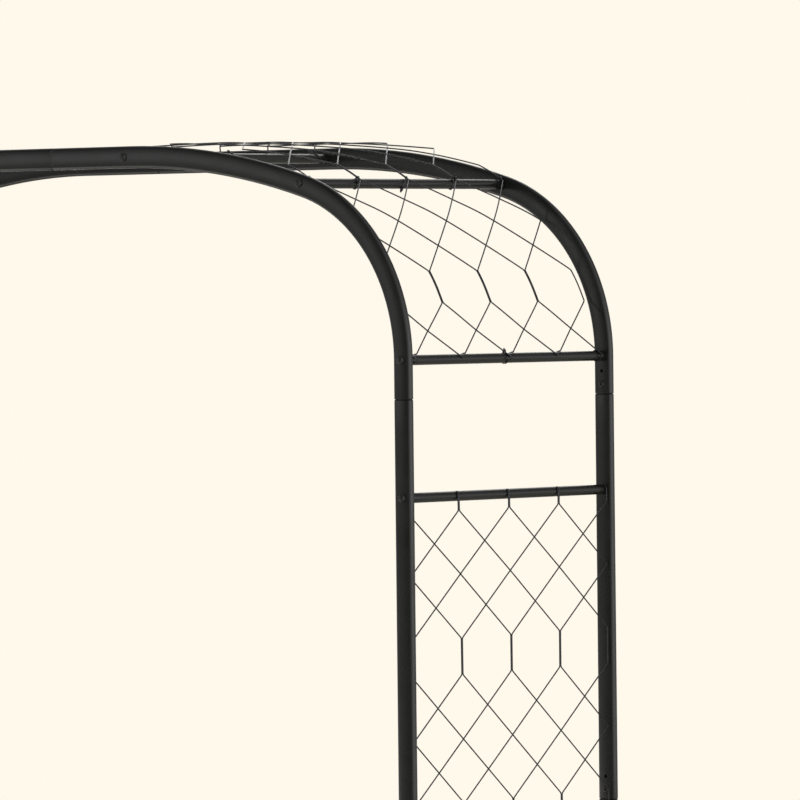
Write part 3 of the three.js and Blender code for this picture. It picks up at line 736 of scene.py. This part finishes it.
def side_stations():
    """Stations down a side panel: distance, and half columns that a wire has moved sideways."""
    stations = [(-HIGH_HOOK_TURN * HOOK_RADIUS, 0), (0, 0), (SIDE_LEAD, 0)]
    for zone in range(1, SIDE_ZONES + 1):
        start = stations[-1][0]
        stations += [(start + 2 * SIDE_ROW, 4 * zone - 2), (start + 4 * SIDE_ROW, 4 * zone)]
        rest = PAIR_LENGTH if zone < SIDE_ZONES else SIDE_LEAD
        stations.append((start + 4 * SIDE_ROW + rest, 4 * zone))
    stations.append((SIDE_FALL + LOW_HOOK_TURN * HOOK_RADIUS, 4 * SIDE_ZONES))
    return stations


def corner_stations(tip, swing_at_bar):
    """The same up a corner panel, from the tip of its wires at the spring bar."""
    stations = [(tip, swing_at_bar + (3 - swing_at_bar) * tip / SPRING_ROW), (SPRING_ROW, 3)]
    swing = 4
    while stations[-1][0] + CORNER_ROW < CORNER_RUN:
        reached = stations[-1][0] + (SPRING_ROW if swing == 4 else CORNER_ROW)
        stations.append((reached, swing))
        if swing % 4 == 0:
            stations.append((reached + PAIR_LENGTH, swing))
        swing += 1
    last = stations[-1][1]
    return stations + [(CORNER_RUN, last), (CORNER_RUN + TURN_DOWN, last)]


# Per panel: its shape, its pull along Y, its stations for each family of wires, its length, the
# spacing of points along it, and the outward offset of the first family where wires cross.
SIDE_FAMILIES = {1: side_stations(), -1: side_stations()}
CORNER_FAMILIES = {
    1: corner_stations(INNER_TIP, INNER_SWING),
    -1: corner_stations(OUTER_TIP, OUTER_SWING),
}
SHEETS = {
    "side_mesh": (side_sheet, side_pull, SIDE_FAMILIES, SIDE_FALL, math.inf, LAYER),
    "corner_mesh": (corner_sheet, lambda s, y: y, CORNER_FAMILIES, CORNER_RUN, WIRE_STEP, -LAYER),
}

# Where each wire swings between, in half columns: (lowest place, range, phase, family)
WIRES = [(low, 4, phase, family) for phase, family in ((0, 1), (4, -1)) for low in (0, 2, 4)]
WIRES += [(0, 2, 2, 1), (6, 2, 0, -1)]


def swing_place(wire, swing):
    """Half columns from the wire's lowest place, once it has moved that many half columns."""
    _, reach, phase, _ = wire
    return reach - abs(reach - (swing + phase) % (2 * reach))


def side_shift(wire, swing):
    """The two wires of a pair lie side by side."""
    if swing % 4 != 0:
        return 0.0
    return PAIR_HALF if swing_place(wire, swing) == 0 else -PAIR_HALF


def edge_marks(at, y, pull):
    """Where a wire reaches the edge of its sheet, between its stations."""
    marks = []
    for i in range(len(at) - 1):
        pulled = (pull(at[i], y[i]), pull(at[i + 1], y[i + 1]))
        edge = math.copysign(SHEET_HALF, sum(pulled))
        if (pulled[0] - edge) * (pulled[1] - edge) < 0:
            marks.append(at[i] + (at[i + 1] - at[i]) * (edge - pulled[0]) / (pulled[1] - pulled[0]))
    return marks


def wire_line(side, sheet, wire):
    """Points of one wire: straight between its stations, with each bend rounded."""
    shape, pull, family_stations, length, step, outer = sheet
    stations = family_stations[wire[3]]
    layer = outer * wire[3]
    at = np.array([s for s, _ in stations], float)
    y = np.array([(wire[0] + swing_place(wire, swing) - COLUMNS) * COLUMN_PITCH / 2
                  + side_shift(wire, swing) for _, swing in stations])
    crossing = np.array([swing % 4 != 0 for _, swing in stations], float)
    marks = {float(at[0]), float(at[-1])}
    for s in [*at[1:-1], *edge_marks(at, y, pull)]:
        marks.update(float(s + WIRE_BEND * k) for k in (-1, -0.6, -0.2, 0.2, 0.6, 1))
    for start, end in zip(at[:-1], at[1:]):
        spacing = HOOK_STEP if start < 0 or end > length else step
        if spacing < math.inf:
            marks.update(np.linspace(start, end, max(2, math.ceil((end - start) / spacing))).tolist())
    if shape is corner_sheet and layer < 0:
        marks.update(np.linspace(INNER_TIP, BAR_WRAP, 12).tolist())
    marks = sorted(s for s in marks if at[0] <= s <= at[-1])
    marks = [s for i, s in enumerate(marks) if i == 0 or s - marks[i - 1] > MARK_GAP]
    spread = np.linspace(-WIRE_BEND, WIRE_BEND, 9)
    points = []
    for s in marks:
        near = min(WIRE_BEND, s - at[0], at[-1] - s) / WIRE_BEND
        around = s + spread * near
        free = np.interp(around, at, y)
        held = np.clip([pull(a, b) for a, b in zip(around, free)], -SHEET_HALF, SHEET_HALF)
        on, out = shape(s, float(np.mean(free)), layer)
        point = on + out * layer * float(np.interp(s, at, crossing))
        points.append(place(side, point[0], float(np.mean(held)), point[1]))
    return points


def wire_rings(points, radius, sides):
    """Round section carried along a line, with blunt, slightly rounded ends."""
    points = np.array(points)
    tangents = np.gradient(points, axis=0)
    tangents /= np.linalg.norm(tangents, axis=1)[:, None]
    stops = [(points[0] - tangents[0] * radius * 0.35, tangents[0], radius * 0.6)]
    stops += [(point, tangent, radius) for point, tangent in zip(points, tangents)]
    stops.append((points[-1] + tangents[-1] * radius * 0.35, tangents[-1], radius * 0.6))
    rings = []
    for point, tangent, reach in stops:
        across = np.cross(tangent, DEPTH_AXIS)
        across /= np.linalg.norm(across)
        rings.append(circle(point, reach, across, np.cross(across, tangent), sides))
    return rings


def build_mesh(side, name):
    wires = Shell()
    for wire in WIRES:
        wires.loft(wire_rings(wire_line(side, SHEETS[name], wire), WIRE_RADIUS, WIRE_SIDES))
    add_piece(f"{side}_{name}_wires", wires, "wire_coat", [f"{side}_{name}"])


# ---------- cable ties ----------

# Per bar: the direction of the wires round the bar, and its ties as (column, how far the strap
# reaches that way, slant across the bar, angle from the wires to the head, length of the tail).
TIES = {
    "ridge_bar": (0, [(2.04, 17.5, 0, 62, 1.5), (3.86, 17.5, -40, 62, 4)]),
    "shoulder_bar": (121, [(0, 11.8, -20, 200, 3), (1, 11.8, -30, 40, 0.5), (2, 11.8, -50, 110, 5),
                           (3, 11.8, -30, 10, 1), (4, 11.8, 20, 200, 3)]),
    "spring_bar": (180, [(0.03, 13.5, 0, -100, 2), (1.98, 14.5, 0, -95, 2), (3.93, 12.5, 10, -60, 5)]),
}


def chamfered(wide, high, bevel):
    """Outline of a rectangle with bevelled corners, as half sizes (along, across)."""
    return [(wide, high - bevel), (wide - bevel, high), (bevel - wide, high), (-wide, high - bevel),
            (-wide, bevel - high), (bevel - wide, -high), (wide - bevel, -high), (wide, bevel - high)]


STRAP_SECTION = chamfered(STRAP_THICK / 2, STRAP_WIDE / 2, STRAP_BEVEL)


def strap_line(reach, slant):
    """Closed line of a strap round the bar, drawn to a rounded point over the wires at +X."""
    big = BAR_RADIUS + STRAP_CLEAR + STRAP_THICK / 2
    small = STRAP_POINT_RADIUS
    centre = reach - small + STRAP_THICK / 2
    touch = math.acos((big - small) / centre)
    points = [(centre + small * math.cos(t), small * math.sin(t)) for t in np.linspace(-touch, touch, 9)]
    points += [(big * math.cos(t), big * math.sin(t))
               for t in np.linspace(touch, 2 * math.pi - touch, 25)]
    widen = 1 / math.cos(math.radians(slant))
    return [np.array([a, b * widen]) for a, b in points]


def block_rings(centre, along, across, thick, size, rim):
    """Rounded block as a row of rings along its first axis."""
    rings = []
    for step, shrink in ((-0.5, rim), (-0.5 + rim / size[0], 0), (0.5 - rim / size[0], 0), (0.5, rim)):
        half_a, half_b = size[1] / 2 - shrink, size[2] / 2 - shrink
        ring = []
        for turn in np.arange(16) * math.pi / 8 + math.pi / 16:
            c, s = math.cos(turn), math.sin(turn)
            a = half_a * math.copysign(abs(c) ** 0.4, c)
            b = half_b * math.copysign(abs(s) ** 0.4, s)
            ring.append(centre + along * step * size[0] + across * a + thick * b)
        rings.append(ring)
    return rings


def add_tie(shell, side, name, out_deg, tie):
    """One cable tie round a bar: the strap, the square head and the cut-off tail."""
    column, reach, slant_deg, head_deg, tail = tie
    out = math.radians(out_deg)
    outward = np.array([-SIDES[side] * math.cos(out), 0.0, math.sin(out)])
    level = np.cross(DEPTH_AXIS, outward)
    slant = math.radians(slant_deg)
    across = level * math.cos(slant) + DEPTH_AXIS * math.sin(slant)
    axis = np.cross(outward, across)
    inset, rise = BARS[name]
    centre = place(side, inset, (column - COLUMNS / 2) * COLUMN_PITCH, rise)
    line = strap_line(reach, slant_deg)
    rings = []
    for i, point in enumerate(line):
        tangent = line[(i + 1) % len(line)] - line[i - 1]
        tangent = tangent / np.linalg.norm(tangent)
        normal = outward * tangent[1] - across * tangent[0]
        on = centre + outward * point[0] + across * point[1]
        rings.append([on + normal * a + axis * b for a, b in STRAP_SECTION])
    shell.loft(rings, loop=True)
    head = math.radians(head_deg)
    turns = [(math.atan2(point[1], point[0]) - head + math.pi) % (2 * math.pi) - math.pi for point in line]
    nearest = line[int(np.argmin(np.abs(turns)))]
    outwards = outward * math.cos(head) + across * math.sin(head)
    sideways = np.cross(axis, outwards)
    seat = centre + outward * nearest[0] + across * nearest[1]
    block = seat + outwards * TIE_HEAD_LIFT
    shell.loft(block_rings(block, outwards, sideways, axis, TIE_HEAD, TIE_HEAD_ROUND))
    stub = seat + outwards * (TAIL_LIFT + tail / 2)
    tail_size = (tail + 1.0, STRAP_THICK, STRAP_WIDE)
    shell.loft(block_rings(stub, outwards, sideways, axis, tail_size, TAIL_ROUND))


def build_ties(side, name):
    out_deg, ties = TIES[name]
    shell = Shell()
    for tie in ties:
        add_tie(shell, side, name, out_deg, tie)
    add_piece(f"{side}_{name}_ties", shell, "tie_nylon", [f"{side}_{name}_tie"])


for side in SIDES:
    for frame_name in FRAMES:
        for index in range(len(LEG_SECTIONS)):
            build_leg(side, frame_name, index)
        build_arch_piece(side, frame_name, is_long_piece(side, frame_name))
        build_joint_screws(side, frame_name)
        build_foot(side, frame_name)
        for name in BARS:
            build_bolt(side, frame_name, name)
    for name in BARS:
        build_bar(side, name)
    for name in SHEETS:
        build_mesh(side, name)
    for name in TIES:
        build_ties(side, name)

# ---------- stage, light and camera ----------

CREAM = (1.0, 0.947, 0.831, 1)
WARM = (1.0, 0.98, 0.95)
WHITE = (1.0, 1.0, 1.0)
FLOOR_RADIUS = 9000
CAMERA_AT = (7.5490, -7.6646, 2.0030)
CAMERA_AIM = (0.8190, -0.2332, 1.8294)
CAMERA_ROLL = -0.626  # degrees
CAMERA_LENS = 310.15


def build_floor():
    """Round pale floor with a softly turned-down rim."""
    profile = [(20, 0), (2000, 0), (FLOOR_RADIUS, 0), (FLOOR_RADIUS + 50, 30)]
    rings = [circle(-drop * UP, radius, SPAN_AXIS, DEPTH_AXIS, 96) for radius, drop in profile]
    obj = add_object("floor", to_mesh("floor", Shell().loft(rings)))
    material = bpy.data.materials.new("floor")
    n = Nodes(material)
    tone = n.blend(n.noise(400, 2), (0.80, 0.765, 0.69, 1), (0.83, 0.79, 0.71, 1))
    n.finish(specular=0.0, Base_Color=tone, Roughness=0.85)
    obj.data.materials.append(material)


def ramp(n, value, stops):
    """Smooth grey ramp through (position, level) stops."""
    node = n.add("ShaderNodeValToRGB", None, Fac=value)
    node.color_ramp.interpolation = "B_SPLINE"
    elements = node.color_ramp.elements
    while len(elements) < len(stops):
        elements.new(0.5)
    for element, (position, level) in zip(elements, stops):
        element.position = position
        element.color = (level, level, level, 1)
    return node.outputs["Color"]


def build_world():
    """Cream backdrop for the camera; round the object, the studio's softer and darker walls."""
    world = bpy.data.worlds.new("studio")
    n = Nodes(world)
    where = n.add("ShaderNodeTexCoord").outputs["Generated"]
    parts = n.add("ShaderNodeSeparateXYZ", None, Vector=where).outputs
    heading = n.math("ARCTAN2", parts[1], parts[0])
    level = ramp(n, n.spread(heading, -math.pi, math.pi), [
        (0.0, 0.28), (0.05, 0.18), (0.09, 0.08), (0.105, 0.04), (0.12, 0.12), (0.135, 0.16),
        (0.15, 0.05), (0.165, 0.02), (0.18, 0.03), (0.21, 0.09), (0.25, 0.22), (0.34, 0.48),
        (0.40, 0.75), (0.45, 0.92), (0.50, 0.85), (0.57, 0.60), (0.62, 0.38), (0.67, 0.16),
        (0.77, 0.18), (0.83, 0.60), (0.865, 0.95), (0.90, 0.60), (0.94, 0.26), (1.0, 0.28),
    ])
    height = ramp(n, n.spread(parts[2], -1.0, 1.0), [
        (0.0, 0.9), (0.35, 1.0), (0.5, 1.0), (0.6, 0.9), (0.7, 0.45), (0.85, 0.35), (1.0, 0.5),
    ])
    product = {"data_type": "RGBA", "blend_type": "MULTIPLY"}
    light = n.add("ShaderNodeMix", product, _0=1.0, _6=level, _7=height).outputs[2]
    walls = n.add("ShaderNodeBackground", None, Color=light, Strength=3.0)
    backdrop = n.add("ShaderNodeBackground", None, Color=CREAM, Strength=1.0)
    seen = n.add("ShaderNodeLightPath").outputs["Is Camera Ray"]
    mixed = n.add("ShaderNodeMixShader", None, _0=seen, _1=walls.outputs[0], _2=backdrop.outputs[0])
    n.add("ShaderNodeOutputWorld", None, Surface=mixed.outputs[0])
    bpy.context.scene.world = world


def aim(obj, target, roll_deg=0.0):
    """Turns a light or camera towards a place."""
    direction = Vector(target) - obj.location
    turn = direction.to_track_quat("-Z", "Y") @ Quaternion((0, 0, 1), math.radians(roll_deg))
    obj.rotation_mode = "QUATERNION"
    obj.rotation_quaternion = turn


def add_softbox(name, at, target, size, power, colour):
    """Soft light that shows as a reflection in the coat; the walls alone light the floor."""
    light = bpy.data.lights.new(name, "AREA")
    light.shape = "RECTANGLE"
    light.size, light.size_y = size
    light.energy = power
    light.color = colour
    obj = add_object(name, light)
    obj.location = at
    obj.visible_camera = False
    obj.visible_diffuse = False
    aim(obj, target)


build_floor()
build_world()
add_softbox("high_back", (-1.1, 3.3, 4.85), (0.3, 0.0, 2.1), (2.0, 1.2), 15, WARM)
add_softbox("ridge_strip", (-2.0, -2.5, 2.3), (0.0, -0.2, 2.2), (1.5, 0.7), 3.8, WHITE)
add_softbox("low_bounce", (-2.0, -1.0, 0.4), (0.0, -0.2, 2.2), (2.0, 1.5), 12, WARM)

camera = bpy.data.cameras.new("camera")
camera.lens = CAMERA_LENS
camera.sensor_width = 36
camera.clip_start = 0.5
camera.clip_end = 100
viewer = add_object("camera", camera)
viewer.location = CAMERA_AT
aim(viewer, CAMERA_AIM, CAMERA_ROLL)
bpy.context.scene.camera = viewer
bpy.context.scene.view_settings.view_transform = "Standard"
